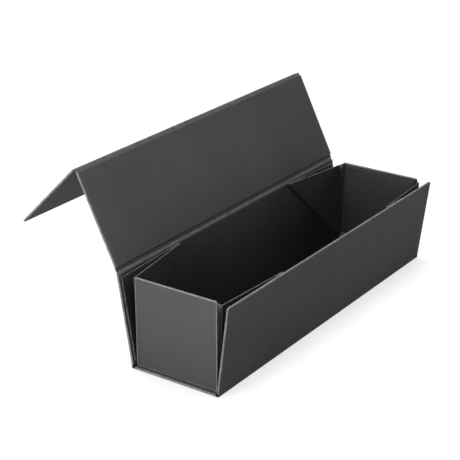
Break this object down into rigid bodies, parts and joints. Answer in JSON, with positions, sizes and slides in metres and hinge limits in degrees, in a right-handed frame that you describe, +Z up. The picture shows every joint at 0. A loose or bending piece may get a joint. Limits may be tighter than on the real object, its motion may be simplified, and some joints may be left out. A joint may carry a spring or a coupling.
{
  "type": "folding gift box",
  "caption": "Long rigid gift box that folds flat, with gusseted corners, a hinged lid and a magnetic closing flap.",
  "frame": {"origin": "middle of the underside, on the table", "axes": "+X along the box from the near end to the far end, +Y from the front wall to the lid's hinge, +Z up"},
  "size_m": [0.35, 0.2183, 0.1691],
  "materials": {
    "covering": "matte",
    "lining": "matte",
    "board": "matte",
    "magnet": "satin",
    "steel": "satin"
  },
  "bodies": {
    "base": {"base_board": "board", "base_wrap": "covering", "base_liner": "lining", "near_end_hinge_strip": "covering", "far_end_hinge_strip": "covering"},
    "back_hinge": {"back_hinge_strip": "covering"},
    "back_wall": {"back_board": "board", "back_wrap": "covering", "back_liner": "lining", "near_back_web": "covering", "far_back_web": "covering"},
    "lid_hinge": {"lid_hinge_strip": "covering"},
    "lid": {"lid_board": "board", "lid_wrap": "covering", "lid_liner": "lining"},
    "flap_hinge": {"flap_hinge_strip": "covering"},
    "flap": {"flap_board": "board", "flap_wrap": "covering", "flap_liner": "lining", "flap_magnets": "magnet"},
    "front_hinge": {"front_hinge_strip": "covering"},
    "front_wall": {"front_board": "board", "front_wrap": "covering", "front_liner": "lining", "front_steel_discs": "steel", "near_front_web": "covering", "far_front_web": "covering"},
    "near_end": {"near_end_board": "board", "near_end_wrap": "covering", "near_end_liner": "lining"},
    "far_end": {"far_end_board": "board", "far_end_wrap": "covering", "far_end_liner": "lining"},
    "near_back_fold": {"near_back_crease": "covering"},
    "near_back_gusset": {"near_back_gusset": "covering"},
    "near_front_fold": {"near_front_crease": "covering"},
    "near_front_gusset": {"near_front_gusset": "covering"},
    "far_back_fold": {"far_back_crease": "covering"},
    "far_back_gusset": {"far_back_gusset": "covering"},
    "far_front_fold": {"far_front_crease": "covering"},
    "far_front_gusset": {"far_front_gusset": "covering"}
  },
  "joints": [
    {"name": "fold_flat", "type": "hinge", "parent": "base", "child": "near_end", "pos_m": [-0.17005, 0, 0.0028], "axis": [0, -1, 0], "range_deg": [-90, 0]},
    {"name": "back_folds_flat", "type": "hinge", "parent": "base", "child": "back_hinge", "pos_m": [0, 0.04485, 0.00015], "axis": [1, 0, 0], "range_deg": [-80.51, 0.01]},
    {"name": "back_wall_close", "type": "hinge", "parent": "back_hinge", "child": "back_wall", "pos_m": [0, 0.04485, 0.00015], "axis": [1, 0, 0], "range_deg": [0, 9.5]},
    {"name": "front_folds_flat", "type": "hinge", "parent": "base", "child": "front_hinge", "pos_m": [0, -0.04485, 0.00015], "axis": [-1, 0, 0], "range_deg": [-83.01, 0.01]},
    {"name": "front_wall_close", "type": "hinge", "parent": "front_hinge", "child": "front_wall", "pos_m": [0, -0.04485, 0.00015], "axis": [-1, 0, 0], "range_deg": [0, 7]},
    {"name": "lid_swing", "type": "hinge", "parent": "back_wall", "child": "lid_hinge", "pos_m": [0, 0.05937, 0.08694], "axis": [1, 0, 0], "range_deg": [0, 107]},
    {"name": "lid_lies_flat", "type": "hinge", "parent": "lid_hinge", "child": "lid", "pos_m": [0, 0.05937, 0.08694], "axis": [1, 0, 0], "range_deg": [-0.01, 17.01]},
    {"name": "flap_swing", "type": "hinge", "parent": "lid", "child": "flap_hinge", "pos_m": [0, 0.10036, 0.16914], "axis": [1, 0, 0], "range_deg": [0, 198.5]},
    {"name": "flap_lies_flat", "type": "hinge", "parent": "flap_hinge", "child": "flap", "pos_m": [0, 0.10036, 0.16914], "axis": [1, 0, 0], "range_deg": [-0.01, 108.51]},
    {"name": "far_end_folds", "type": "hinge", "parent": "base", "child": "far_end", "pos_m": [0.17005, 0, 0.0028], "axis": [0, -1, 0], "range_deg": [-0.01, 90.01]},
    {"name": "near_back_fold_closes", "type": "hinge", "parent": "back_wall", "child": "near_back_fold", "pos_m": [-0.17005, 0.04285, 0.00332], "axis": [0.7071, 0.1167, 0.6974], "range_deg": [-10.51, 0.01]},
    {"name": "near_back_gusset_unfolds", "type": "hinge", "parent": "near_back_fold", "child": "near_back_gusset", "pos_m": [-0.17005, 0.04285, 0.00332], "axis": [0.7071, 0.1167, 0.6974], "range_deg": [-0.01, 169.51]},
    {"name": "near_front_fold_closes", "type": "hinge", "parent": "front_wall", "child": "near_front_fold", "pos_m": [-0.17005, -0.04271, 0.00323], "axis": [-0.7071, 0.0862, -0.7018], "range_deg": [-6.93, 0.01]},
    {"name": "near_front_gusset_unfolds", "type": "hinge", "parent": "near_front_fold", "child": "near_front_gusset", "pos_m": [-0.17005, -0.04271, 0.00323], "axis": [-0.7071, 0.0862, -0.7018], "range_deg": [-0.01, 173.09]},
    {"name": "far_back_fold_closes", "type": "hinge", "parent": "back_wall", "child": "far_back_fold", "pos_m": [0.17005, 0.04285, 0.00332], "axis": [0.7071, -0.1167, -0.6974], "range_deg": [-10.51, 0.01]},
    {"name": "far_back_gusset_unfolds", "type": "hinge", "parent": "far_back_fold", "child": "far_back_gusset", "pos_m": [0.17005, 0.04285, 0.00332], "axis": [0.7071, -0.1167, -0.6974], "range_deg": [-0.01, 169.51]},
    {"name": "far_front_fold_closes", "type": "hinge", "parent": "front_wall", "child": "far_front_fold", "pos_m": [0.17005, -0.04271, 0.00323], "axis": [-0.7071, -0.0862, 0.7018], "range_deg": [-6.93, 0.01]},
    {"name": "far_front_gusset_unfolds", "type": "hinge", "parent": "far_front_fold", "child": "far_front_gusset", "pos_m": [0.17005, -0.04271, 0.00323], "axis": [-0.7071, -0.0862, 0.7018], "range_deg": [-0.01, 173.09]}
  ],
  "couplings": [
    {"joint": "back_folds_flat", "follows": "fold_flat", "ratio": 0.89444},
    {"joint": "front_folds_flat", "follows": "fold_flat", "ratio": 0.92222},
    {"joint": "lid_lies_flat", "follows": "fold_flat", "ratio": -0.18889},
    {"joint": "flap_lies_flat", "follows": "fold_flat", "ratio": -1.2056},
    {"joint": "far_end_folds", "follows": "fold_flat", "ratio": -1},
    {"joint": "near_back_fold_closes", "follows": "back_wall_close", "ratio": -1.1049},
    {"joint": "near_back_gusset_unfolds", "follows": "fold_flat", "ratio": -1.8834},
    {"joint": "near_front_fold_closes", "follows": "front_wall_close", "ratio": -0.98917},
    {"joint": "near_front_gusset_unfolds", "follows": "fold_flat", "ratio": -1.9231},
    {"joint": "far_back_fold_closes", "follows": "back_wall_close", "ratio": -1.1049},
    {"joint": "far_back_gusset_unfolds", "follows": "fold_flat", "ratio": -1.8834},
    {"joint": "far_front_fold_closes", "follows": "front_wall_close", "ratio": -0.98917},
    {"joint": "far_front_gusset_unfolds", "follows": "fold_flat", "ratio": -1.9231}
  ]
}
